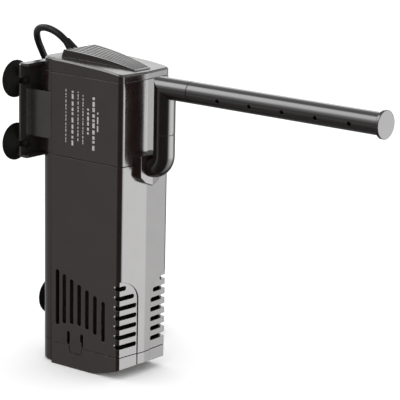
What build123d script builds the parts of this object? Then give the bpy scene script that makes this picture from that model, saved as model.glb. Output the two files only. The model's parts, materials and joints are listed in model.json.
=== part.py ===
from build123d import *
from math import cos, pi, radians, sin, sqrt, tan
import os

# Internal power filter, millimetres. +Z up, the spray bar points to -Y, the suction cups to +Y.
# Origin: under the body's centre, on the flat foot of the base cap.

# ---- driving dimensions ----
SIDE_X = 34.0          # half-width of the body's side panels
FRONT_Y = -50.0        # front corners of the body
CREASE = 2.2           # how far the front's centre crease stands forward of the corners
BACK_Y = 54.6
RECESS_Y = 36.0        # the side panels end here and the rail recess begins
RECESS_X = 30.0        # half-width of the body inside the recess
BASE_SEAM = 21.5       # base cap / container
PUMP_SEAM = 201.5      # container / pump housing
CAP_SEAM = 279.7       # pump housing / top cap
SEAM_GAP = 0.7         # height of the shadow line at each seam
CORNER_R = 5.0         # front corners in plan
WALL = 2.4
RAIL_Y = 38.6          # vertical rail groove in the recess

PUMP_Y = 4.0           # axis of rotor and impeller
PORT_Z = 199.5         # outlet port axis
BOSS_Y = -59.2
RISER_Y = -72.2
RISER_JOINT_Z = 231.9
BAR_Z = 273.9
BAR_JOINT_Y = -104.0
BAR_END_Y = -310.7
PIPE_R = 10.0
PIPE_BORE = 8.0
SPIGOT_R = 9.0
FIT = 0.06             # radial clearance of the swivel fits
HOLE_R = 2.0
HOLE_COUNT = 5
HOLE_FIRST_Y = -140.1
HOLE_PITCH = 35.54
HOLE_TILT = 13.0       # degrees below the horizontal

CUP_R = 17.6
CUP_PLANE_Y = 77.0
CUP_X = 38.8
CUP_Z = (209.0, 268.5)
PLATE_X = 44.5
PLATE_Y = (64.6, 67.0)
PLATE_Z = (196.0, 285.0)
WING_Z = (216.3, 260.0)
LOW_CUP_Z = 54.0
LOW_CUP_PLANE_Y = 66.5

CORD_R = 3.35
COIL_CENTRE = (87.3, 62.3)
CORD_ROUTE = [
    (0, 37.5, 293.0), (0, 52, 306), (2, 73, 312.5), (8.5, 93.5, 309.5), (22, 108, 297.5), (38, 113, 277),
    (53, 111.5, 250), (60, 111, 205), (63, 112.5, 150), (62, 114.5, 95), (63, 114, 31.4),
    (59.1, 104.5, 13.65), (52.3, 88.1, 3.4), (44.7, 69.2, 3.4),
]
TAIL_ROUTE = [(126.6, 47.5, 9.2), (128.6, 62, 9.2), (130.9, 84, 7.9), (132.35, 98.2, 7.0)]

os.makedirs("parts", exist_ok=True)


def save(builder, label):
    """Name a finished piece and write it as its own STEP file."""
    builder.part.label = label
    export_step(builder.part, f"parts/{label}.step")


def body_points(inset=0.0, front=FRONT_Y):
    """Plan outline of the body: bowed front, side panels, rail recess behind them."""
    side, recess = SIDE_X - inset, RECESS_X - inset
    step_y, back = RECESS_Y - inset, BACK_Y - inset
    left = [(-side, front + inset), (-side, step_y), (-recess, step_y), (-recess, back)]
    return [(0, front - CREASE + inset), *left, *[(-x, y) for x, y in reversed(left)]]


def body_sketch(inset=0.0, front=FRONT_Y, mode=Mode.ADD):
    """The plan outline as a face, with round front, step and rear corners."""
    with BuildSketch(mode=Mode.PRIVATE) as outline:
        with BuildLine():
            Polyline(*body_points(inset, front), close=True)
        make_face()
        corners = outline.vertices()
        fillet(corners.filter_by(lambda v: v.Y > BACK_Y - inset - 1), max(12.0 - inset, 2))
        fillet(outline.vertices().filter_by(lambda v: v.Y < front + inset + 0.1 and abs(v.X) > 20),
               max(CORNER_R - inset, 1))
    return add(outline.sketch, mode=mode)


def rail_grooves(bottom, top):
    """Two vertical grooves in the rail recess, which the bracket's beads run in."""
    with BuildSketch(Plane.XY.offset(bottom)) as grooves:
        for side in (-1, 1):
            with Locations((side * RECESS_X, RAIL_Y)):
                Rectangle(2.4, 2.4)
    extrude(grooves.sketch, amount=top - bottom, mode=Mode.SUBTRACT)


# ---- base cap ----
FOOT_Y = (-12.0, 36.0)
BELLY_T = 3.0          # thickness of the belly's wall
TAB_Y, TAB_W, TAB_DROP = 4.5, 15.0, 6.6        # snap tabs that hang from the container


def belly_profile():
    """Side view of the base cap's underside: flat foot, curving up to the front and a little to the rear."""
    with BuildSketch(Plane.YZ.offset(-60)) as under:
        with BuildLine():
            belly = Spline((-56, 13.0), (-44, 7.4), (-30, 3.4), (FOOT_Y[0], 0), tangents=((1, -0.5), (1, 0)))
            foot = Line(belly @ 1, (FOOT_Y[1], 0))
            rise = Line(foot @ 1, (62, 4.0))
            Polyline(rise @ 1, (62, -8), (-56, -8), belly @ 0)
        make_face()
    return under.sketch


RECESS_DEPTH = 1.4
ARCH_X, ARCH_Z, ARCH_RISE = 8.6, 74.0, 20.0    # the recess's inner edge, where its arch springs, and its height


def front_recess(bottom, top):
    """Arch-topped recess at both front corners, parallel to the front, for the corner grilles."""
    outer = SIDE_X + 2
    with BuildSketch(Plane.XZ.offset(44)) as panel:
        with BuildLine():
            edge = Line((ARCH_X, bottom), (ARCH_X, min(ARCH_Z, top)))
            if top > ARCH_Z:
                arch = EllipticalCenterArc((outer, ARCH_Z), outer - ARCH_X, ARCH_RISE, start_angle=90, arc_size=90)
                Polyline(arch @ 0, (outer, bottom), edge @ 0)
            else:
                Polyline(edge @ 1, (outer, top), (outer, bottom), edge @ 0)
        make_face()
        mirror(about=Plane.YZ)
    with BuildPart(mode=Mode.PRIVATE) as hollow:
        extrude(panel.sketch, amount=20)
        with BuildSketch(Plane.XY.offset(bottom)) as ahead:
            floor_y = FRONT_Y + RECESS_DEPTH
            Polygon((0, floor_y - CREASE), (-SIDE_X, floor_y), (-40, floor_y), (-40, -70), (40, -70), (40, floor_y),
                    (SIDE_X, floor_y), align=None)
        extrude(ahead.sketch, amount=top + 20, mode=Mode.INTERSECT)
    add(hollow.part, mode=Mode.SUBTRACT)

with BuildPart() as base_cap:
    with BuildSketch(Plane.XY):
        body_sketch(0.7)
    extrude(amount=BASE_SEAM - SEAM_GAP)
    with BuildPart(mode=Mode.PRIVATE) as cavity:                 # its floor rises with the belly
        with BuildSketch(Plane.XY.offset(4.0)):
            body_sketch(0.7 + WALL, FRONT_Y + 3.2)
        extrude(amount=30)
        extrude(belly_profile().moved(Location((0, 0, BELLY_T))), amount=120, mode=Mode.SUBTRACT)
    add(cavity.part, mode=Mode.SUBTRACT)
    for low, height, outer in ((14, BASE_SEAM - 14.5, 2.9), (BASE_SEAM - 2, 3.0, 3.3)):   # collar in the container
        with BuildSketch(Plane.XY.offset(low)):
            body_sketch(outer, FRONT_Y + 3.2)
            body_sketch(4.9, FRONT_Y + 3.2, mode=Mode.SUBTRACT)
        extrude(amount=height)
    rail_grooves(-1, BASE_SEAM + 1)
    front_recess(-1, BASE_SEAM)
    extrude(belly_profile(), amount=120, mode=Mode.SUBTRACT)
    for side in (-1, 1):                                          # seats of the container's snap tabs
        with BuildSketch(Plane.YZ.offset(side * 60)):
            with Locations((TAB_Y, BASE_SEAM)):
                RectangleRounded(TAB_W + 1.4, 2 * TAB_DROP + 1.4, 3.4)
        extrude(amount=-side * 28.7, mode=Mode.SUBTRACT)
save(base_cap, "base_cap")

# ---- filter container ----
GRILLE_PITCH = 9.3
GRILLE_TOP_Z = 87.3
GRILLE_SLOTS = 7
SIDE_SLOT_Y = (27.5, 18.8, 9.5, 0.0, -9.7, -19.7, -29.8)
SIDE_SLOT_W = 4.6
GRILLE_SLOT_W = 4.2


def corner_slot_end(z):
    """Where a corner slot ends on the front, following the arch of its panel."""
    rise = max(0.0, (z - 66) / 23.5)
    return SIDE_X - 24 * sqrt(1 - rise * rise)


with BuildPart() as filter_container:
    with BuildSketch(Plane.XY.offset(PUMP_SEAM)):
        body_sketch()
    extrude(amount=-(PUMP_SEAM - BASE_SEAM), taper=0.2)
    with BuildSketch(Plane.XY.offset(BASE_SEAM - 1)):
        body_sketch(2.9, FRONT_Y + 2.8)
    extrude(amount=PUMP_SEAM, mode=Mode.SUBTRACT)
    rail_grooves(BASE_SEAM - 1, PUMP_SEAM + 1)
    front_recess(BASE_SEAM - 1, ARCH_Z + ARCH_RISE)
    with BuildSketch(Plane.XZ.offset(RECESS_Y + 20)):
        for k in range(GRILLE_SLOTS):
            z = GRILLE_TOP_Z - k * GRILLE_PITCH
            end = corner_slot_end(z)
            with Locations((end + 15, z)):
                SlotOverall(30, GRILLE_SLOT_W)
            with Locations((-end - 15, z)):
                SlotOverall(30, GRILLE_SLOT_W)
    extrude(amount=-13.0, mode=Mode.SUBTRACT)
    with BuildSketch(Plane.YZ.offset(-50)):
        for y in SIDE_SLOT_Y:
            top, low = 82.8 + 0.361 * y, 42.9 - (y - 5) ** 2 / 130
            with Locations((y, (top + low) / 2)):
                SlotOverall(top - low, SIDE_SLOT_W, rotation=90)
        for y in (13.5, -3.3):
            with Locations((y, 28.8)):
                SlotOverall(12.8, 3.6, rotation=90)
    extrude(amount=100, mode=Mode.SUBTRACT)
    for side in (-1, 1):                                              # snap tabs
        with BuildSketch(Plane.YZ.offset(side * (SIDE_X - 0.75))):
            with Locations((TAB_Y, BASE_SEAM)):
                RectangleRounded(TAB_W, 2 * TAB_DROP, 2.7)
        extrude(amount=-side * 1.5)
    with BuildSketch(Plane.XZ.offset(60)):                            # notch for the outlet duct
        with Locations((0, PUMP_SEAM)):
            RectangleRounded(25, 28, 6)
    extrude(amount=-20, mode=Mode.SUBTRACT)
    with Locations(Plane((0, BACK_Y + 3, LOW_CUP_Z), z_dir=(0, 1, 0))):
        Hole(3.4, depth=9)
save(filter_container, "filter_container")

# ---- pump housing ----
CHAMBER_R = 21.0
CHAMBER_WALL_R = 24.8
DUCT_FRONT_Y, DUCT_LENGTH = -56.0, 28.0
SCREW_CIRCLE_R = 22.9
CHAMBER_Z = (188.0, 206.0)
MOTOR_FLOOR = 209.0
SEAL_Z = 194.5


def boss_shield():
    """Front view of the outlet boss: upright sides and a pointed lower end."""
    with BuildSketch(Plane.XZ.offset(70)) as shield:
        with BuildLine():
            Polyline((-15, 211), (-15, 190.6), (-9, 184.8), (0, 181.3), (9, 184.8), (15, 190.6), (15, 211),
                     close=True)
        make_face()
        fillet(shield.vertices().filter_by(lambda v: abs(v.X) > 8), 2.2)
    return shield.sketch


with BuildPart() as outlet_boss:
    with BuildSketch(Plane.XY.offset(175)):
        Polygon((-15, -46), (-15, BOSS_Y + 1.6), (0, BOSS_Y), (15, BOSS_Y + 1.6), (15, -46), align=None)
    extrude(amount=40)
    extrude(boss_shield(), amount=-30, mode=Mode.INTERSECT)
    fillet(outlet_boss.faces().filter_by(lambda f: f.center().Y < BOSS_Y + 1.5).edges()
           .filter_by(lambda e: abs(e.center().X) > 0.5), 1.0)

with BuildPart() as pump_housing:
    with BuildSketch(Plane.XY.offset(PUMP_SEAM + SEAM_GAP)):
        body_sketch()
    extrude(amount=CAP_SEAM - PUMP_SEAM - SEAM_GAP)
    with BuildSketch(Plane.XY.offset(CAP_SEAM - SEAM_GAP)):           # shadow line under the cap
        Rectangle(90, 130)
        body_sketch(1.1, mode=Mode.SUBTRACT)
    extrude(amount=SEAM_GAP, mode=Mode.SUBTRACT)
    with BuildSketch(Plane.XY.offset(PUMP_SEAM - 12)):                # skirt inside the container
        body_sketch(3.3, FRONT_Y + 2.8)
    extrude(amount=16)
    with BuildSketch(Plane.XY.offset(PUMP_SEAM - 20)):                # hollow under the motor floor
        body_sketch(5.3, FRONT_Y + 2.8)
    extrude(amount=MOTOR_FLOOR - 3 - PUMP_SEAM + 20, mode=Mode.SUBTRACT)
    with BuildSketch(Plane.XY.offset(SEAL_Z - 1.2)):                  # groove of the container seal
        Rectangle(90, 130)
        body_sketch(4.5, FRONT_Y + 2.8, mode=Mode.SUBTRACT)
    extrude(amount=2.4, mode=Mode.SUBTRACT)
    with BuildSketch(Plane.XY.offset(MOTOR_FLOOR)):
        body_sketch(WALL)
    extrude(amount=100, mode=Mode.SUBTRACT)
    with BuildSketch(Plane.XY.offset(CHAMBER_Z[0])):                  # impeller chamber
        with Locations((0, PUMP_Y)):
            Circle(CHAMBER_WALL_R)
    extrude(amount=CHAMBER_Z[1] - CHAMBER_Z[0] + 1)
    add(outlet_boss.part)
    with BuildSketch(Plane.XY.offset(175)):                           # the boss stands clear of the container
        with BuildLine():
            Polyline((-20, FRONT_Y - 0.4 - CREASE * 14 / 34), (0, FRONT_Y - CREASE - 0.4),
                     (20, FRONT_Y - 0.4 - CREASE * 14 / 34), (20, -45.6), (-20, -45.6), close=True)
        make_face()
    extrude(amount=PUMP_SEAM - 175, mode=Mode.SUBTRACT)
    with Locations(Plane((0, DUCT_FRONT_Y, PORT_Z), z_dir=(0, 1, 0))):
        Cylinder(11.4, DUCT_LENGTH, align=(Align.CENTER, Align.CENTER, Align.MIN))
    with BuildSketch(Plane.XY.offset(CHAMBER_Z[0] - 1)):
        with Locations((0, PUMP_Y)):
            Circle(CHAMBER_R)
    extrude(amount=CHAMBER_Z[1] - CHAMBER_Z[0] + 1, mode=Mode.SUBTRACT)
    with Locations(Plane((0, -40, PORT_Z), z_dir=(0, -1, 0))):
        Cylinder(SPIGOT_R + FIT, 60, mode=Mode.SUBTRACT)
    with Locations((0, PUMP_Y, MOTOR_FLOOR)):
        Cylinder(10.6, 12, mode=Mode.SUBTRACT)
    with Locations((0, BACK_Y - 8, CAP_SEAM)):
        Cylinder(4.0, 8, mode=Mode.SUBTRACT)
    rail_grooves(PUMP_SEAM - 1, CAP_SEAM + 1)
save(pump_housing, "pump_housing")

# ---- cord ----
def route_radii(route):
    """Arc radii for a route: 0.45 of the shorter run over the tangent of half the turn."""
    points = [Vector(*p) for p in route]
    radii = []
    for a, b, c in zip(points, points[1:], points[2:]):
        turn = radians((b - a).get_angle(c - b))
        radii.append(0.45 * min((b - a).length, (c - b).length) / tan(turn / 2))
    return radii


def cord_tube(label, route):
    """A plain round tube along straight runs joined by tangent arcs."""
    radii = route_radii(route)
    with BuildPart() as tube:
        with BuildLine() as path:
            FilletPolyline(*route, radius=radii)
        start = path.wires()[0]
        with BuildSketch(Plane(start @ 0, z_dir=start % 0)):
            Circle(CORD_R)
        sweep(path=start)
    length = start.length
    print(label, "length", round(length, 1), "radii", [round(r, 1) for r in radii],
          "volume ratio", round(tube.part.volume / (pi * CORD_R ** 2 * length), 4))
    save(tube, label)
    return tube.part


cord_solid = cord_tube("cord", CORD_ROUTE)
tail_solid = cord_tube("cord_tail", TAIL_ROUTE)

GLAND_AXIS = (0, 0.745, 0.667)
with BuildPart() as cord_gland:
    gland = Plane(CORD_ROUTE[0], z_dir=GLAND_AXIS)
    for distance, radius in ((-9, 4.38), (1, 5.4), (15, 3.9)):
        with BuildSketch(gland.offset(distance)):
            Circle(radius)
    loft(ruled=True)
    with Locations(gland):
        Cylinder(CORD_R, 60, mode=Mode.SUBTRACT)
save(cord_gland, "cord_gland")

# ---- top cap ----
RAMP_REAR, RAMP_FRONT = (32.0, 299.0), (-45.5, 288.0)      # (y, z) of the thumb ramp's top
RAMP_HALF = (21.5, 10.6)                                   # its half-width at the rear and the front
RIB_DEPTH = 1.5
RIB_HALF = (1.35, 0.75)                                   # half-width of a groove at the rear and the front
RIB_COUNT = 7


def dome_profile():
    """Side view of the space above the cap's domed top."""
    with BuildSketch(Plane.YZ.offset(-50)) as above:
        with BuildLine():
            crown = Spline((-60, 284.2), (-50, 286.2), (0, 290.7), (30, 292.0), (62, 291.0))
            Polyline(crown @ 1, (62, 310), (-60, 310), crown @ 0)
        make_face()
    return above.sketch


def ramp_side(drop=0.0, top=None):
    """Side view of the thumb ramp, or of the space above its grooves when top is given."""
    with BuildSketch(Plane.YZ.offset(-30)) as side:
        with BuildLine():
            crown = Spline((RAMP_FRONT[0], RAMP_FRONT[1] - drop), (-8, 295.3 - drop),
                           (RAMP_REAR[0], RAMP_REAR[1] - drop))
            if top:
                Polyline(crown @ 1, (RAMP_REAR[0], top), (RAMP_FRONT[0], top), crown @ 0)
            else:
                Polyline(crown @ 1, (RAMP_REAR[0] + 5, 284), (RAMP_FRONT[0], 284), crown @ 0)
        make_face()
    return side.sketch


with BuildPart() as ramp:
    extrude(ramp_side(), amount=60)
    with BuildSketch(Plane.XY.offset(280)):
        Polygon((-RAMP_HALF[0] - 1, RAMP_REAR[0] + 5), (RAMP_HALF[0] + 1, RAMP_REAR[0] + 5),
                (RAMP_HALF[1], RAMP_FRONT[0]), (-RAMP_HALF[1], RAMP_FRONT[0]), align=None)
    extrude(amount=40, mode=Mode.INTERSECT)

with BuildPart() as ribs:
    extrude(ramp_side(RIB_DEPTH, 305), amount=60)
    with BuildSketch(Plane.XY.offset(280)):
        for k in range(RIB_COUNT):
            share = (2 * k / (RIB_COUNT - 1) - 1) * 0.8
            rear, front = share * RAMP_HALF[0], share * RAMP_HALF[1]
            Polygon((rear - RIB_HALF[0], RAMP_REAR[0] + 1), (rear + RIB_HALF[0], RAMP_REAR[0] + 1),
                    (front + RIB_HALF[1], RAMP_FRONT[0] + 1.5), (front - RIB_HALF[1], RAMP_FRONT[0] + 1.5), align=None)
    extrude(amount=40, mode=Mode.INTERSECT)

with BuildPart() as top_cap:
    with BuildSketch(Plane.XY.offset(CAP_SEAM)):
        body_sketch(0.15)
    extrude(amount=20)
    extrude(dome_profile(), amount=100, mode=Mode.SUBTRACT)
    chamfer(top_cap.faces().filter_by(lambda f: f.center().Z > 286 and abs(f.center().X) < 1)
            .sort_by(SortBy.AREA)[-1].outer_wire().edges(), 1.5)
    add(ramp.part)
    add(ribs.part, mode=Mode.SUBTRACT)
    with BuildSketch(Plane.XY.offset(CAP_SEAM)):                      # lip that centres the cap
        body_sketch(2.5)
    extrude(amount=-4)
    with BuildSketch(Plane.XY.offset(CAP_SEAM - 5)):
        body_sketch(4.3)
    extrude(amount=9, mode=Mode.SUBTRACT)
    with Locations(Plane(CORD_ROUTE[0], z_dir=GLAND_AXIS)):
        Cylinder(4.4, 30, mode=Mode.SUBTRACT)
    add(cord_gland.part, mode=Mode.SUBTRACT)
save(top_cap, "top_cap")

# ---- motor ----
CORE_Z = (212.0, 272.0)
CORE_DEPTH = 24.0
WELL_R, WELL_BORE, WELL_TOP = 11.6, 9.6, 242.4
SHAFT_R = 1.5
RUN_FIT = 0.05

with BuildPart() as stator_core:
    with BuildSketch(Plane.XZ.offset(-PUMP_Y)):
        with Locations((0, (CORE_Z[0] + CORE_Z[1]) / 2)):
            Rectangle(50, CORE_Z[1] - CORE_Z[0])
        with Locations((0, 251)):
            Rectangle(28, 18, mode=Mode.SUBTRACT)
        with Locations((0, 227)):
            Rectangle(6, 40, mode=Mode.SUBTRACT)
        for side in (-1, 1):
            with Locations((side * 25, 251)):
                Rectangle(4, 18, mode=Mode.SUBTRACT)
    extrude(amount=CORE_DEPTH / 2, both=True)
    with Locations((0, PUMP_Y, 225)):
        Cylinder(WELL_R + 0.1, 60, align=(Align.CENTER, Align.CENTER, Align.CENTER), mode=Mode.SUBTRACT)
save(stator_core, "stator_core")

coils = {}
for name, side in (("stator_coil_left", -1), ("stator_coil_right", 1)):
    with BuildPart() as stator_coil:
        with BuildSketch(Plane.XY.offset(242.6)):
            with Locations((side * 19, PUMP_Y)):
                RectangleRounded(21.6, CORE_DEPTH + 11, 4)
                RectangleRounded(10.8 - 0.4, CORE_DEPTH + 0.6, 0.5, mode=Mode.SUBTRACT)
        extrude(amount=16.8)
        if side < 0:
            split(bisect_by=Plane.YZ.offset(-8.5), keep=Keep.BOTTOM)
        else:
            split(bisect_by=Plane.YZ.offset(8.5), keep=Keep.TOP)
        add(stator_core.part, mode=Mode.SUBTRACT)
    coils[name] = stator_coil.part
    save(stator_coil, name)

with BuildPart() as rotor_well:
    with BuildSketch(Plane.XY.offset(CHAMBER_Z[1])):
        with Locations((0, PUMP_Y)):
            Circle(WELL_R + 4)
    extrude(amount=-1.6)
    with Locations((0, PUMP_Y, CHAMBER_Z[1] - 1.6)):
        Cylinder(10.5, WELL_TOP - CHAMBER_Z[1] + 1.6, align=(Align.CENTER, Align.CENTER, Align.MIN))
    with Locations((0, PUMP_Y, MOTOR_FLOOR + 0.1)):
        Cylinder(WELL_R, WELL_TOP - MOTOR_FLOOR - 0.1, align=(Align.CENTER, Align.CENTER, Align.MIN))
    with Locations((0, PUMP_Y, CHAMBER_Z[1] - 3)):
        Cylinder(WELL_BORE, WELL_TOP - 2 - CHAMBER_Z[1] + 3, align=(Align.CENTER, Align.CENTER, Align.MIN),
                 mode=Mode.SUBTRACT)
save(rotor_well, "rotor_well")

with BuildPart() as motor_potting:
    with BuildSketch(Plane.XY.offset(MOTOR_FLOOR + 0.1)):
        RectangleRounded(62, 66, 5)
    extrude(amount=274.5 - MOTOR_FLOOR)
    add(pump_housing.part, mode=Mode.SUBTRACT)
    add(stator_core.part, mode=Mode.SUBTRACT)
    for coil in coils.values():
        add(coil, mode=Mode.SUBTRACT)
    with Locations((0, PUMP_Y, MOTOR_FLOOR - 1)):
        Cylinder(WELL_R + 0.02, WELL_TOP - MOTOR_FLOOR + 1, align=(Align.CENTER, Align.CENTER, Align.MIN),
                 mode=Mode.SUBTRACT)
save(motor_potting, "motor_potting")

with BuildPart() as rotor_shaft:
    with Locations((0, PUMP_Y, 184.2)):
        Cylinder(SHAFT_R, 55, align=(Align.CENTER, Align.CENTER, Align.MIN))
    chamfer(rotor_shaft.edges(), 0.3)
save(rotor_shaft, "rotor_shaft")

for name, low, high, radius in (("shaft_bush_top", 236.2, 240.3, 5.0), ("shaft_bush_bottom", 183.2, 187.2, 4.0)):
    with BuildPart() as shaft_bush:
        with Locations((0, PUMP_Y, low)):
            Cylinder(radius, high - low, align=(Align.CENTER, Align.CENTER, Align.MIN))
        hole_low = low - 1 if name.endswith("top") else low + 1
        with Locations((0, PUMP_Y, hole_low)):
            Cylinder(SHAFT_R, 4.0 if name.endswith("top") else 6, align=(Align.CENTER, Align.CENTER, Align.MIN),
                     mode=Mode.SUBTRACT)
    save(shaft_bush, name)

with BuildPart() as rotor_magnet:
    with BuildSketch(Plane.XY.offset(212)):
        with Locations((0, PUMP_Y)):
            Circle(9.0)
            Circle(SHAFT_R + RUN_FIT, mode=Mode.SUBTRACT)
    extrude(amount=23)
    chamfer(rotor_magnet.edges().filter_by(lambda e: e.length > 40), 0.6)
save(rotor_magnet, "rotor_magnet")

BLADES = 6
with BuildPart() as impeller:
    with BuildSketch(Plane.XY.offset(190)):
        with Locations((0, PUMP_Y)):
            Circle(4.2)
    extrude(amount=22)
    with BuildSketch(Plane.XY.offset(202.2)):
        with Locations((0, PUMP_Y)):
            Circle(8.6)
    extrude(amount=1.6)
    with BuildSketch(Plane.XY.offset(191)):
        with Locations((0, PUMP_Y)):
            with PolarLocations(10.0, BLADES):
                Rectangle(14, 1.6)
    extrude(amount=12)
    with BuildSketch(Plane.XY.offset(185)):
        with Locations((0, PUMP_Y)):
            Circle(SHAFT_R + RUN_FIT)
    extrude(amount=40, mode=Mode.SUBTRACT)
save(impeller, "impeller")

with BuildPart() as impeller_cover:
    with BuildSketch(Plane.XY.offset(CHAMBER_Z[0] - 2.6)):
        with Locations((0, PUMP_Y)):
            Circle(CHAMBER_WALL_R)
            Circle(9.5, mode=Mode.SUBTRACT)
            with PolarLocations(6.5, 3):
                Rectangle(8, 2.4)
            Circle(5.6)
            Circle(4.0, mode=Mode.SUBTRACT)
            with PolarLocations(SCREW_CIRCLE_R, 4, start_angle=45):
                Circle(1.25, mode=Mode.SUBTRACT)
    extrude(amount=2.4)
save(impeller_cover, "impeller_cover")

with BuildPart() as cover_screws:
    with Locations((0, PUMP_Y, CHAMBER_Z[0] - 4.4)):
        with PolarLocations(SCREW_CIRCLE_R, 4, start_angle=45):
            Cylinder(2.2, 1.8, align=(Align.CENTER, Align.CENTER, Align.MIN))
            Cylinder(1.2, 4.3, align=(Align.CENTER, Align.CENTER, Align.MIN))
            with Locations((0, 0, -0.1)):
                Box(3.2, 0.8, 1.0, align=(Align.CENTER, Align.CENTER, Align.MIN), mode=Mode.SUBTRACT)
save(cover_screws, "cover_screws")


# ---- sealing rings ----
def ring(label, plane, radius, section):
    """A round O-ring about the plane's normal."""
    with BuildPart() as seal:
        with Locations(plane):
            Torus(radius, section)
    save(seal, label)


ring("cover_seal", Plane((0, PUMP_Y, CHAMBER_Z[0] + 0.5)), CHAMBER_R - 0.6, 0.55)
with BuildPart() as container_seal:
    with BuildSketch(Plane.XY.offset(SEAL_Z - 1.1)):
        body_sketch(3.25, FRONT_Y + 2.8)
        body_sketch(4.6, FRONT_Y + 2.8, mode=Mode.SUBTRACT)
    extrude(amount=2.2)
    add(pump_housing.part, mode=Mode.SUBTRACT)
save(container_seal, "container_seal")


# ---- outlet: elbows and spray bar ----
PORT_FACE_Y = BOSS_Y - 0.3
BEND_R = PORT_FACE_Y - RISER_Y
SOCKET = 8.0           # how deep the spigots sit in their sockets
JOINT_HALF = 0.35      # half the width of the line at each swivel joint
SEAL_RING_R, SEAL_RING_SECTION = 8.58, 0.42
MITRE_R = 6.0


def bend(radius, mode=Mode.ADD):
    """A quarter bend of the given section, from the port's face up to the riser."""
    with BuildSketch(Plane((0, PORT_FACE_Y, PORT_Z), z_dir=(0, -1, 0))) as section:
        Circle(radius)
    revolve(section.sketch, axis=Axis((0, PORT_FACE_Y, PORT_Z + BEND_R), (-1, 0, 0)), revolution_arc=90, mode=mode)


def rod(start, axis, radius, length, mode=Mode.ADD):
    """A cylinder from start along axis."""
    with Locations(Plane(start, z_dir=axis)):
        Cylinder(radius, length, align=(Align.CENTER, Align.CENTER, Align.MIN), mode=mode)


FORWARD, UP = (0, -1, 0), (0, 0, 1)
BEND_TOP = PORT_Z + BEND_R

with BuildPart() as lower_elbow:
    bend(PIPE_R)
    rod((0, PORT_FACE_Y + SOCKET + 3, PORT_Z), FORWARD, SPIGOT_R, SOCKET + 3)
    rod((0, RISER_Y, BEND_TOP), UP, PIPE_R, RISER_JOINT_Z - JOINT_HALF - BEND_TOP)
    rod((0, RISER_Y, BEND_TOP), UP, SPIGOT_R, RISER_JOINT_Z + SOCKET - BEND_TOP)
    with Locations(Plane((0, PORT_FACE_Y + 7, PORT_Z), z_dir=FORWARD), Plane((0, RISER_Y, RISER_JOINT_Z + 4), z_dir=UP)):
        Torus(SEAL_RING_R, SEAL_RING_SECTION + 0.03, mode=Mode.SUBTRACT)
    bend(PIPE_BORE - 0.6, mode=Mode.SUBTRACT)
    rod((0, PORT_FACE_Y + SOCKET + 4, PORT_Z), FORWARD, PIPE_BORE - 0.6, SOCKET + 4, mode=Mode.SUBTRACT)
    rod((0, RISER_Y, BEND_TOP), UP, PIPE_BORE - 0.6, 40, mode=Mode.SUBTRACT)
save(lower_elbow, "lower_elbow")
ring("outlet_seal", Plane((0, PORT_FACE_Y + 7, PORT_Z), z_dir=FORWARD), SEAL_RING_R, SEAL_RING_SECTION)
ring("riser_seal", Plane((0, RISER_Y, RISER_JOINT_Z + 4), z_dir=UP), SEAL_RING_R, SEAL_RING_SECTION)

MITRE = Plane((0, RISER_Y, BAR_Z), z_dir=(0, 1, -1))
with BuildPart() as riser_leg:
    rod((0, RISER_Y, RISER_JOINT_Z + JOINT_HALF), UP, PIPE_R, 60)
    rod((0, RISER_Y, RISER_JOINT_Z - 5), UP, PIPE_BORE, 100, mode=Mode.SUBTRACT)
    split(bisect_by=MITRE, keep=Keep.TOP)
with BuildPart() as upper_elbow:
    rod((0, RISER_Y + 20, BAR_Z), FORWARD, PIPE_R, RISER_Y + 20 - BAR_JOINT_Y - JOINT_HALF)
    rod((0, RISER_Y + 30, BAR_Z), FORWARD, PIPE_BORE, 100, mode=Mode.SUBTRACT)
    split(bisect_by=MITRE, keep=Keep.BOTTOM)
    add(riser_leg.part)
    with BuildSketch(Plane.YZ.offset(-20)):                           # rounds the mitred outer corner
        with Locations((RISER_Y + PIPE_R - 50, BAR_Z + PIPE_R - 50)):
            RectangleRounded(100, 100, MITRE_R)
    extrude(amount=40, mode=Mode.INTERSECT)
    rod((0, RISER_Y, RISER_JOINT_Z - 1), UP, SPIGOT_R + FIT, SOCKET + 1.8, mode=Mode.SUBTRACT)
    rod((0, BAR_JOINT_Y - 1, BAR_Z), (0, 1, 0), SPIGOT_R + FIT, SOCKET + 1.8, mode=Mode.SUBTRACT)
save(upper_elbow, "upper_elbow")

BAR_SEAL_Y = BAR_JOINT_Y + 4
with BuildPart() as spray_bar:
    rod((0, BAR_JOINT_Y - JOINT_HALF, BAR_Z), FORWARD, PIPE_R, BAR_JOINT_Y - JOINT_HALF - BAR_END_Y)
    rod((0, BAR_JOINT_Y + SOCKET, BAR_Z), FORWARD, SPIGOT_R, SOCKET + 4)
    with Locations(Plane((0, BAR_SEAL_Y, BAR_Z), z_dir=FORWARD)):
        Torus(SEAL_RING_R, SEAL_RING_SECTION + 0.03, mode=Mode.SUBTRACT)
    rod((0, BAR_JOINT_Y + SOCKET + 1, BAR_Z), FORWARD, PIPE_BORE - 0.6, SOCKET + 1 + 6, mode=Mode.SUBTRACT)
    rod((0, BAR_JOINT_Y - 2, BAR_Z), FORWARD, PIPE_BORE, 240, mode=Mode.SUBTRACT)
    for k in range(HOLE_COUNT):
        outward = (-cos(radians(HOLE_TILT)), 0, -sin(radians(HOLE_TILT)))
        rod((0, HOLE_FIRST_Y - k * HOLE_PITCH, BAR_Z), outward, HOLE_R, 14, mode=Mode.SUBTRACT)
save(spray_bar, "spray_bar")
ring("bar_seal", Plane((0, BAR_SEAL_Y, BAR_Z), z_dir=FORWARD), SEAL_RING_R, SEAL_RING_SECTION)

with BuildPart() as spray_bar_cap:
    rod((0, BAR_END_Y, BAR_Z), FORWARD, 12.6, 3.0)
    chamfer(spray_bar_cap.edges(), 0.35)
    rod((0, BAR_END_Y + 9, BAR_Z), FORWARD, PIPE_BORE - 0.02, 10)
    rod((0, BAR_END_Y + 10, BAR_Z), FORWARD, PIPE_BORE - 1.8, 9, mode=Mode.SUBTRACT)
save(spray_bar_cap, "spray_bar_cap")

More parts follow.
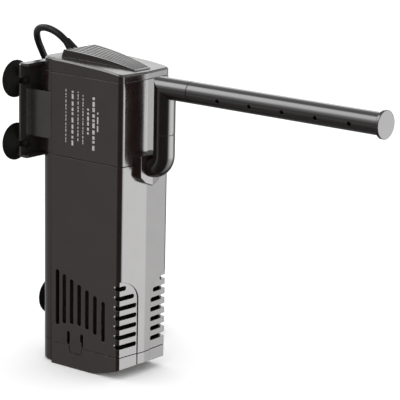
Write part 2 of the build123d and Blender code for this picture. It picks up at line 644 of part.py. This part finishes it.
# ---- inside the container ----
with BuildPart() as core_tube:
    rod((0, PUMP_Y, 24), UP, 10.4, 158)
    rod((0, PUMP_Y, 22), UP, 8.6, 170, mode=Mode.SUBTRACT)
    with Locations(*[Plane((0, PUMP_Y, 40 + 12 * k), z_dir=(cos(a), sin(a), 0)) for k in range(11) for a in (0, pi / 2)]):
        Cylinder(2.6, 40, mode=Mode.SUBTRACT)
save(core_tube, "core_tube")

with BuildPart() as filter_foam:
    with BuildSketch(Plane.XY.offset(24.2)):
        with Locations((0, 2.5)):
            RectangleRounded(53, 86, 8)
        with Locations((0, PUMP_Y)):
            Circle(10.6, mode=Mode.SUBTRACT)
    extrude(amount=153.8)
save(filter_foam, "filter_foam")

# ---- bracket and suction cups ----
WING_IN = RECESS_X + 0.35
WING_FRONT = RECESS_Y + 0.35
RIB_DROP = 8.0
SPINE_X = 16.2
with BuildPart() as bracket:
    with BuildSketch(Plane.XZ.offset(-PLATE_Y[1])):
        with Locations((0, sum(PLATE_Z) / 2)):
            RectangleRounded(2 * PLATE_X, PLATE_Z[1] - PLATE_Z[0], 2.5)
            Rectangle(30, 40, mode=Mode.SUBTRACT)
        for z in CUP_Z:
            for side in (-1, 1):
                with Locations((side * CUP_X, z)):
                    Circle(3.3, mode=Mode.SUBTRACT)
                with Locations((side * (CUP_X + 5), z)):
                    Rectangle(10, 5.4, mode=Mode.SUBTRACT)
    extrude(amount=PLATE_Y[1] - PLATE_Y[0])
    for z in (PLATE_Z[0], PLATE_Z[1] - 2.5):                          # stiffening ribs
        with BuildSketch(Plane.XY.offset(z)):
            with Locations((0, PLATE_Y[0] - 3)):
                RectangleRounded(2 * PLATE_X - 2, RIB_DROP, 2)
        extrude(amount=2.5)
    with BuildSketch(Plane.XY.offset(PLATE_Z[0] + 3)):                # uprights that rest on the pump's back
        with Locations(*[(side * SPINE_X, (BACK_Y + PLATE_Y[0]) / 2 + 0.3) for side in (-1, 1)]):
            Rectangle(2.4, PLATE_Y[0] - BACK_Y)
    extrude(amount=PLATE_Z[1] - PLATE_Z[0] - 6)
    for side in (-1, 1):
        with BuildSketch(Plane.XY.offset(WING_Z[0])):
            with BuildLine():
                root = (side * (SIDE_X + 4.2), PLATE_Y[0] + 0.5)
                bow = RadiusArc((side * SIDE_X, PLATE_Y[0] - 4.2), root, side * 4.6)
                Polyline(root, (side * (WING_IN - 3), PLATE_Y[0] + 0.5), (side * WING_IN, PLATE_Y[0] - 3.4),
                         (side * WING_IN, WING_FRONT), (side * SIDE_X, WING_FRONT), bow @ 0)
            make_face()
            with Locations((side * (WING_IN - 0.2), RAIL_Y)):
                Rectangle(1.3, 1.6)
        extrude(amount=WING_Z[1] - WING_Z[0])
save(bracket, "bracket")


def suction_cup(label, x, z, plane_y, neck_y, knob):
    """A rubber cup: thin lip on the wall plane, a cone, a neck and a snap knob."""
    with BuildPart() as cup:
        with BuildSketch(Plane((x, 0, z), x_dir=(1, 0, 0), z_dir=(0, 0, 1))):
            with BuildLine():
                Polyline((0, plane_y - 3.2), (CUP_R - 5, plane_y - 1.6), (CUP_R, plane_y), (CUP_R, plane_y - 0.8),
                         (CUP_R - 4, plane_y - 3.4), (6.0, plane_y - 7.0), (5.2, neck_y), (2.6, neck_y),
                         (2.6, neck_y - 3.1), (knob, neck_y - 3.1), (knob, neck_y - 5.4), (knob - 1.4, neck_y - 7.2),
                         (0, neck_y - 7.2), close=True)
            make_face()
        revolve(axis=Axis((x, 0, z), (0, 1, 0)))
    save(cup, label)


for row, z in zip(("lower", "upper"), CUP_Z):
    for hand, side in (("left", -1), ("right", 1)):
        suction_cup(f"suction_cup_{row}_{hand}", side * CUP_X, z, CUP_PLANE_Y, PLATE_Y[1] + 0.25, 3.8)
suction_cup("container_cup", 0, LOW_CUP_Z, LOW_CUP_PLANE_Y, BACK_Y + 0.2, 4.4)


# ---- coil ----
COIL_IN, COIL_OUT, COIL_TOP = 27.6, 47.8, 12.6
with BuildPart() as cord_tie:
    with BuildSketch(Plane((COIL_CENTRE[0] - 37.7, COIL_CENTRE[1], 0), x_dir=(1, 0, 0), z_dir=(0, -1, 0))):
        with Locations((0, 6.6)):
            RectangleRounded(23.4, 13.2, 3)
            RectangleRounded(20.6, 12.62, 2.6, mode=Mode.SUBTRACT)
    extrude(amount=3.5, both=True)
save(cord_tie, "cord_tie")

with BuildPart() as cord_coil:
    with BuildSketch(Plane((*COIL_CENTRE, 0), x_dir=(1, 0, 0), z_dir=(0, -1, 0))) as turns:
        Polygon((COIL_IN, 0), (COIL_OUT, 0), (COIL_OUT, 6), (COIL_OUT - 3.4, COIL_TOP),
                (COIL_IN + 3.4, COIL_TOP), (COIL_IN, 6), align=None)
        fillet(turns.vertices(), 2.4)
    revolve(axis=Axis((*COIL_CENTRE, 0), (0, 0, 1)))
    add(cord_tie.part, mode=Mode.SUBTRACT)
save(cord_coil, "cord_coil")

# ---- plug ----
PLUG = Plane((132.3, 97.8, 7.0), x_dir=(0.9945, -0.1045, 0), z_dir=(0.1045, 0.9945, 0))
with BuildPart() as plug_relief:
    with BuildSketch(PLUG.offset(-8)):
        Circle(4.0)
    with BuildSketch(PLUG.offset(14)):
        Circle(5.8)
    loft(ruled=True)
    add(tail_solid, mode=Mode.SUBTRACT)
save(plug_relief, "plug_relief")

with BuildPart() as plug_body:
    for distance, width, height in ((14.1, 16, 12.5), (24, 27, 14), (40, 35, 14)):
        with BuildSketch(PLUG.offset(distance)):
            RectangleRounded(width, height, 5.4)
    loft(ruled=True)
save(plug_body, "plug_body")

with BuildPart() as plug_pins:
    for side in (-1, 1):
        pin = PLUG * Location((side * 9.5, 0, 40.1))
        with Locations(Plane(pin)):
            Cylinder(2.0, 19, align=(Align.CENTER, Align.CENTER, Align.MIN))
    fillet(plug_pins.faces().sort_by(Axis(PLUG.origin, PLUG.z_dir))[-2:].edges(), 1.2)
save(plug_pins, "plug_pins")
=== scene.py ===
import json
from math import cos, pi, radians, sin

import bmesh
import bpy
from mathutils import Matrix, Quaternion, Vector


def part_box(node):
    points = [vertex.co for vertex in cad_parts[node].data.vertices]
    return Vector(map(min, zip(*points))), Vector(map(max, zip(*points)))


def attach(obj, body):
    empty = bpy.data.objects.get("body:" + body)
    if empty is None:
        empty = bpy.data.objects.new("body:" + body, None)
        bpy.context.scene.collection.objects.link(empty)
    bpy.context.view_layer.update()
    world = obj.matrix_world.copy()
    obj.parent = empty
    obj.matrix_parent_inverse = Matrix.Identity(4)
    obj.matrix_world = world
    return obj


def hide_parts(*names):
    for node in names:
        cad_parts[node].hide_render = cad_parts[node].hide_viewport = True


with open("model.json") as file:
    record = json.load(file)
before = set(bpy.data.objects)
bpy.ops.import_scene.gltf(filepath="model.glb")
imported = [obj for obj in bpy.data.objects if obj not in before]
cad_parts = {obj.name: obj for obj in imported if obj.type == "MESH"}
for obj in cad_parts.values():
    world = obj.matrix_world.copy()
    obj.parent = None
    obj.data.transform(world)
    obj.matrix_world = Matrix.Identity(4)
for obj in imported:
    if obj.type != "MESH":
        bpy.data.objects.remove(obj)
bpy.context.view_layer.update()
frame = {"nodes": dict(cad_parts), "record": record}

MM = 0.001


# ---- camera ----
AZIMUTH, ELEVATION, ROLL = radians(-51.0), radians(13.24), radians(1.12)
DISTANCE = 2.023
LENS = 196.5
TARGET = Vector((0.0446, -0.0792, 0.1636))


def make_camera():
    back = Vector((sin(AZIMUTH) * cos(ELEVATION), -cos(AZIMUTH) * cos(ELEVATION), sin(ELEVATION)))
    data = bpy.data.cameras.new("camera")
    data.lens, data.sensor_width = LENS, 36
    camera = bpy.data.objects.new("camera", data)
    bpy.context.collection.objects.link(camera)
    camera.rotation_mode = "QUATERNION"
    camera.location = TARGET + back * DISTANCE
    camera.rotation_quaternion = (-back).to_track_quat("-Z", "Y") @ Quaternion((0, 0, 1), ROLL)
    bpy.context.scene.camera = camera


make_camera()


# ---- node helpers ----
class Nodes:
    """A material with a Principled shader, and short calls that add nodes to it."""

    def __init__(self, name, colour, roughness, specular=0.5):
        self.material = bpy.data.materials.new(name)
        self.material.use_nodes = True
        self.tree = self.material.node_tree
        self.shader = self.tree.nodes["Principled BSDF"]
        self.shader.inputs["Base Color"].default_value = (*colour, 1)
        self.shader.inputs["Roughness"].default_value = roughness
        self.shader.inputs["Specular IOR Level"].default_value = specular
        self.place = self.add("ShaderNodeTexCoord").outputs["Object"]
        self.normal = None

    def add(self, kind, **settings):
        node = self.tree.nodes.new(kind)
        for key, value in settings.items():
            setattr(node, key, value)
        return node

    def link(self, source, target):
        self.tree.links.new(source, target)

    def noise(self, scale, detail=2.0, stretch=None):
        """Noise over the object, in features per metre."""
        texture = self.add("ShaderNodeTexNoise")
        texture.inputs["Scale"].default_value = scale
        texture.inputs["Detail"].default_value = detail
        source = self.place
        if stretch:
            mapping = self.add("ShaderNodeMapping")
            mapping.inputs["Scale"].default_value = stretch
            self.link(source, mapping.inputs["Vector"])
            source = mapping.outputs["Vector"]
        self.link(source, texture.inputs["Vector"])
        return texture.outputs["Fac"]

    def spread(self, value, low, high, start=0.3, end=0.7):
        """Maps a value's usual range onto low to high."""
        node = self.add("ShaderNodeMapRange")
        for socket, number in zip(("From Min", "From Max", "To Min", "To Max"), (start, end, low, high)):
            node.inputs[socket].default_value = number
        self.link(value, node.inputs["Value"])
        return node.outputs["Result"]

    def vary_roughness(self, scale, low, high):
        self.link(self.spread(self.noise(scale, 4), low, high), self.shader.inputs["Roughness"])

    def vary_colour(self, scale, dark, light, detail=3.0):
        mix = self.add("ShaderNodeMix", data_type="RGBA")
        mix.inputs["A"].default_value = (*dark, 1)
        mix.inputs["B"].default_value = (*light, 1)
        self.link(self.spread(self.noise(scale, detail), 0, 1), mix.inputs["Factor"])
        self.link(mix.outputs["Result"], self.shader.inputs["Base Color"])

    def bump(self, height, strength, distance):
        node = self.add("ShaderNodeBump")
        node.inputs["Strength"].default_value = strength
        node.inputs["Distance"].default_value = distance
        self.link(height, node.inputs["Height"])
        if self.normal:
            self.link(self.normal, node.inputs["Normal"])
        self.normal = node.outputs["Normal"]
        self.link(self.normal, self.shader.inputs["Normal"])

    def soft_edges(self, radius):
        """Rounds the shading of sharp moulded edges."""
        node = self.add("ShaderNodeBevel", samples=6)
        node.inputs["Radius"].default_value = radius
        self.normal = node.outputs["Normal"]
        self.link(self.normal, self.shader.inputs["Normal"])


def moulded(name, colour, roughness, grain=0.12, edge=0.00035):
    """Injection-moulded plastic: soft edges, faint flow waviness and a fine grain."""
    n = Nodes(name, colour, roughness)
    n.soft_edges(edge)
    n.vary_roughness(55, roughness * 0.88, roughness * 1.14)
    n.vary_colour(30, [c * 0.9 for c in colour], [c * 1.12 for c in colour])
    n.bump(n.noise(38, 2), 0.05, 0.0004)
    n.bump(n.noise(2600, 2), grain, 0.00004)
    return n.material


def rubber(name, colour, roughness=0.62, specular=0.2):
    n = Nodes(name, colour, roughness, specular)
    n.soft_edges(0.0004)
    n.vary_roughness(240, roughness * 0.9, roughness * 1.1)
    n.vary_colour(90, [c * 0.85 for c in colour], [c * 1.3 for c in colour])
    n.bump(n.noise(1800, 3), 0.25, 0.00005)
    return n.material


def metal(name, colour, roughness, stretch):
    n = Nodes(name, colour, roughness)
    n.shader.inputs["Metallic"].default_value = 1
    n.soft_edges(0.0003)
    n.vary_roughness(400, roughness * 0.8, roughness * 1.25)
    n.bump(n.noise(600, 2, stretch), 0.2, 0.00005)
    return n.material


def foam(name, colour):
    n = Nodes(name, colour, 0.95, 0.1)
    cells = n.add("ShaderNodeTexVoronoi")
    cells.inputs["Scale"].default_value = 620
    n.link(n.place, cells.inputs["Vector"])
    n.vary_colour(300, [c * 0.5 for c in colour], [c * 1.4 for c in colour])
    n.bump(cells.outputs["Distance"], 0.9, 0.0008)
    return n.material


BLACK = (0.0125, 0.0079, 0.0068)
MATERIALS = {
    "gloss_black": moulded("housing_plastic", BLACK, 0.17),
    "cap_black": moulded("cap_plastic", (0.0115, 0.0076, 0.0066), 0.24),
    "pipe_black": moulded("pipe_plastic", (0.0078, 0.006, 0.0056), 0.15),
    "bracket_black": moulded("bracket_plastic", (0.019, 0.0165, 0.0158), 0.26),
    "cup_rubber": rubber("cup_rubber", (0.0058, 0.0056, 0.0051), 0.45, 0.03),
    "cord_rubber": rubber("cord_rubber", (0.0056, 0.0053, 0.0051), 0.34, 0.06),
    "seal_rubber": rubber("seal_rubber", (0.02, 0.02, 0.02)),
    "foam": foam("filter_foam", (0.012, 0.013, 0.015)),
    "core_plastic": moulded("core_plastic", (0.02, 0.02, 0.021), 0.4),
    "lamination": metal("laminations", (0.4, 0.4, 0.42), 0.45, (1, 30, 1)),
    "copper": metal("enamelled_wire", (0.55, 0.22, 0.09), 0.35, (1, 1, 25)),
    "resin": moulded("potting_resin", (0.02, 0.02, 0.021), 0.3),
    "magnet": moulded("ferrite", (0.045, 0.043, 0.042), 0.6, 0.4),
    "ceramic": moulded("ceramic", (0.8, 0.78, 0.72), 0.15, 0.03),
    "steel": metal("screw_steel", (0.6, 0.6, 0.61), 0.3, (8, 1, 1)),
    "nickel": metal("pin_nickel", (0.72, 0.7, 0.66), 0.18, (1, 8, 1)),
    "tie": moulded("tie_nylon", (0.02, 0.02, 0.02), 0.4),
}
MARK_INK = Nodes("mark_ink", (0.34, 0.34, 0.34), 0.6)
MARK_INK.vary_colour(500, (0.27, 0.27, 0.27), (0.4, 0.4, 0.4))


def dress_cad():
    """Gives every CAD node the material of its slot."""
    for entry in frame["record"]["subparts"]:
        node = frame["nodes"][entry["node"]]
        node.data.materials.clear()
        node.data.materials.append(MATERIALS[entry["material_slot"]])


dress_cad()


# ---- cord ----
CORD_R = 3.35 * MM
COIL_CENTRE = (87.3, 62.3)
CORD_ROUTE = [
    (0, 37.5, 293.0), (0, 52, 306), (2, 73, 312.5), (8.5, 93.5, 309.5), (22, 108, 297.5), (38, 113, 277),
    (53, 111.5, 250), (60, 111, 205), (63, 112.5, 150), (62, 114.5, 95), (63, 114, 31.4),
    (59.1, 104.5, 13.65), (52.3, 88.1, 3.4),
]
TAIL_ROUTE = [(130.9, 84, 7.9), (132.35, 98.2, 7.0)]
COIL_START, COIL_END = radians(169.0), radians(354.0)
FULL_TURNS = 4
POINTS_A_TURN = 14
SPLINE_INSET = 1.012       # how far outside its turns a coil's control points stand
FLOOR_Z, TOP_Z = 3.4, 9.2  # height of the cord's centre in the coil's two layers
# (turn, radius, height): turns on the floor, wound inwards, then turns in the grooves between them.
COIL_STEPS = [
    (0, 44.0, FLOOR_Z), (0.85, 44.0, FLOOR_Z), (1.1, 37.4, FLOOR_Z), (1.85, 37.4, FLOOR_Z),
    (2.1, 30.9, FLOOR_Z), (2.7, 30.9, FLOOR_Z), (3.0, 34.2, TOP_Z), (3.65, 34.2, TOP_Z),
    (3.95, 40.9, TOP_Z), (9, 40.9, TOP_Z),
]


def coil_points():
    """Control points of the coil's turns, anticlockwise from where the cord reaches the floor."""
    sweep = COIL_END - COIL_START + 2 * pi * FULL_TURNS
    steps = round(sweep / (2 * pi) * POINTS_A_TURN)
    points = []
    for k in range(1, steps + 1):
        angle = sweep * k / steps
        turn = angle / (2 * pi)
        for (a, r0, z0), (b, r1, z1) in zip(COIL_STEPS, COIL_STEPS[1:]):
            if a <= turn <= b:
                share = (turn - a) / (b - a)
                radius, height = r0 + (r1 - r0) * share, z0 + (z1 - z0) * share
                break
        points.append((COIL_CENTRE[0] + radius * SPLINE_INSET * cos(COIL_START + angle),
                       COIL_CENTRE[1] + radius * SPLINE_INSET * sin(COIL_START + angle), height))
    return points


def nurbs(name, points, radius):
    """A round tube along one smooth open spline."""
    curve = bpy.data.curves.new(name, "CURVE")
    curve.dimensions = "3D"
    curve.bevel_depth, curve.bevel_resolution, curve.use_fill_caps = radius, 8, True
    curve.resolution_u = 10
    spline = curve.splines.new("NURBS")
    spline.points.add(len(points) - 1)
    for point, place in zip(spline.points, points):
        point.co = (*[v * MM for v in place], 1)
    spline.order_u, spline.use_endpoint_u = 3, True
    cord = bpy.data.objects.new(name, curve)
    bpy.context.collection.objects.link(cord)
    return cord


cord = nurbs("mains_cord", CORD_ROUTE + coil_points() + TAIL_ROUTE, CORD_R)
cord.data.materials.append(MATERIALS["cord_rubber"])
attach(cord, "pump")
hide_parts("cord", "cord_coil", "cord_tail")


# ---- printed marks: plain dashes in place of the rating text ----
# (y, half-width, lowest z, highest z, dash length) of each column, in mm
MARK_COLUMNS = [
    (17.5, 0.5, 216, 266, 2.2), (9.3, 1.1, 214, 265, 3.6), (2.5, 0.55, 219, 265, 2.4),
    (-3.6, 0.55, 217, 263, 1.8), (-9.8, 1.1, 227, 251, 3.0), (-16.6, 1.4, 213, 264, 3.4),
    (-21.6, 0.8, 231, 249, 5.0),
]
MARK_LIFT, INK_T = 0.03 * MM, 0.04 * MM        # how far the ink stands off the wall, and its thickness


def rating_marks():
    """Upright columns of small unreadable dashes on the pump's left side."""
    mesh = bmesh.new()
    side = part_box("pump_housing")[0][0] - MARK_LIFT
    for column, (y, half, low, high, dash) in enumerate(MARK_COLUMNS):
        z, step = low, 0
        while z < high:
            length = dash * (0.7 + 0.2 * ((column * 3 + step * 5) % 4))       # uneven, as words are
            top = min(z + length, high)
            corners = ((y - half, z), (y - half, top), (y + half, top), (y + half, z))
            mesh.faces.new([mesh.verts.new((side, a * MM, b * MM)) for a, b in corners])
            z += length + 0.35 * dash + 0.5 * ((column + step) % 3)
            step += 1
    bmesh.ops.recalc_face_normals(mesh, faces=mesh.faces)
    bmesh.ops.solidify(mesh, geom=list(mesh.faces), thickness=INK_T)
    data = bpy.data.meshes.new("rating_marks")
    mesh.to_mesh(data)
    mesh.free()
    marks = bpy.data.objects.new("rating_marks", data)
    bpy.context.collection.objects.link(marks)
    data.materials.append(MARK_INK.material)
    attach(marks, "pump")


rating_marks()


# ---- stage: floor, and a studio that glossy surfaces see ----
FLOOR_HALF = 8.0
FLOOR_DROP = 0.2 * MM             # keeps the floor off the object's foot
FLOOR_WHITE, FLOOR_GREY = (0.99, 0.99, 0.99), (0.98, 0.98, 0.98)


def make_floor():
    mesh = bpy.data.meshes.new("floor")
    corners = [(x * FLOOR_HALF, y * FLOOR_HALF, 0) for x, y in ((-1, -1), (1, -1), (1, 1), (-1, 1))]
    mesh.from_pydata(corners, [], [(0, 1, 2, 3)])
    floor = bpy.data.objects.new("floor", mesh)
    bpy.context.collection.objects.link(floor)
    n = Nodes("floor_paint", FLOOR_WHITE, 0.9, 0.0)
    n.vary_colour(3, FLOOR_GREY, FLOOR_WHITE)
    mesh.materials.append(n.material)
    floor.location.z = -FLOOR_DROP
    floor.visible_glossy = False


ROOM_LIGHT = 1.25                 # what the eye and matt surfaces see all round
STUDIO_STRENGTH = 10.0
# Brightness round the horizon, as a share of STUDIO_STRENGTH, by compass angle from -X through -Y.
HORIZON = [
    (0, 0.006), (45, 0.006), (68, 0.01), (79, 0.06), (92, 0.7), (106, 1.08), (122, 1.08), (134, 0.98),
    (141, 0.76), (149, 0.56), (156, 0.2), (168, 0.06), (200, 0.07), (256, 0.07), (300, 0.07), (312, 0.045),
    (320, 0.08), (328, 0.075), (338, 0.03), (350, 0.005),
]
# Heights run from 0 straight down, through 0.5 at the horizon, to 1 at the zenith.
LOW_BAND = [(0.0, 0.1), (0.3, 0.6), (0.36, 1.0), (0.44, 1.0), (0.52, 0.5), (0.62, 0.05)]  # share of HORIZON
OVERHEAD = [
    (0.5, 0.0), (0.53, 0.05), (0.57, 0.14), (0.61, 0.16), (0.64, 0.18), (0.67, 0.27), (0.7, 0.36),
    (0.75, 0.18), (0.8, 0.11), (0.87, 0.1), (1.0, 0.09),
]
SOFTBOX = Vector((-0.43, 0.613, 0.66))          # direction of the softbox that lights the spray bar
SOFTBOX_EDGE = [(0.0, 0.0), (0.925, 0.0), (0.955, 0.4), (0.985, 0.75), (1.0, 0.8)]


def make_world():
    """White to the eye and on matt surfaces; softboxes round a dark studio in reflections."""
    world = bpy.data.worlds.new("studio")
    bpy.context.scene.world = world
    world.use_nodes = True
    tree = world.node_tree
    tree.nodes.clear()

    def add(kind, **settings):
        node = tree.nodes.new(kind)
        for key, value in settings.items():
            setattr(node, key, value)
        return node

    def math_node(operation, a, b):
        node = add("ShaderNodeMath", operation=operation)
        for socket, value in zip(node.inputs, (a, b)):
            if isinstance(value, (int, float)):
                socket.default_value = value
            else:
                tree.links.new(value, socket)
        return node.outputs[0]

    def ramp(source, stops):
        node = add("ShaderNodeValToRGB")
        elements = node.color_ramp.elements
        while len(elements) > 1:
            elements.remove(elements[-1])
        for k, (place, grey) in enumerate(stops):
            element = elements[0] if k == 0 else elements.new(place)
            element.position, element.color = place, (grey, grey, grey, 1)
        tree.links.new(source, node.inputs[0])
        return node.outputs[0]

    direction = add("ShaderNodeTexCoord").outputs["Generated"]
    radial = add("ShaderNodeTexGradient", gradient_type="RADIAL")
    tree.links.new(direction, radial.inputs[0])
    around = ramp(radial.outputs["Fac"], [(angle / 360, grey) for angle, grey in HORIZON])
    parts = add("ShaderNodeSeparateXYZ")
    tree.links.new(direction, parts.inputs[0])
    height = math_node("MULTIPLY_ADD", parts.outputs["Z"], 0.5)
    height.node.inputs[2].default_value = 0.5
    low_band = ramp(height, LOW_BAND)
    glow = math_node("ADD", math_node("MULTIPLY", around, low_band), ramp(height, OVERHEAD))
    facing = add("ShaderNodeVectorMath", operation="DOT_PRODUCT")
    tree.links.new(direction, facing.inputs[0])
    facing.inputs[1].default_value = SOFTBOX.normalized()
    glow = math_node("ADD", glow, ramp(facing.outputs["Value"], SOFTBOX_EDGE))
    mix = add("ShaderNodeMix", data_type="FLOAT")
    tree.links.new(add("ShaderNodeLightPath").outputs["Is Glossy Ray"], mix.inputs["Factor"])
    mix.inputs[2].default_value = ROOM_LIGHT / STUDIO_STRENGTH
    tree.links.new(glow, mix.inputs[3])
    background = add("ShaderNodeBackground")
    background.inputs["Color"].default_value = (1, 1, 1, 1)
    tree.links.new(math_node("MULTIPLY", mix.outputs[0], STUDIO_STRENGTH), background.inputs["Strength"])
    output = add("ShaderNodeOutputWorld")
    tree.links.new(background.outputs[0], output.inputs["Surface"])


make_floor()
make_world()
bpy.context.scene.view_settings.view_transform = "Standard"
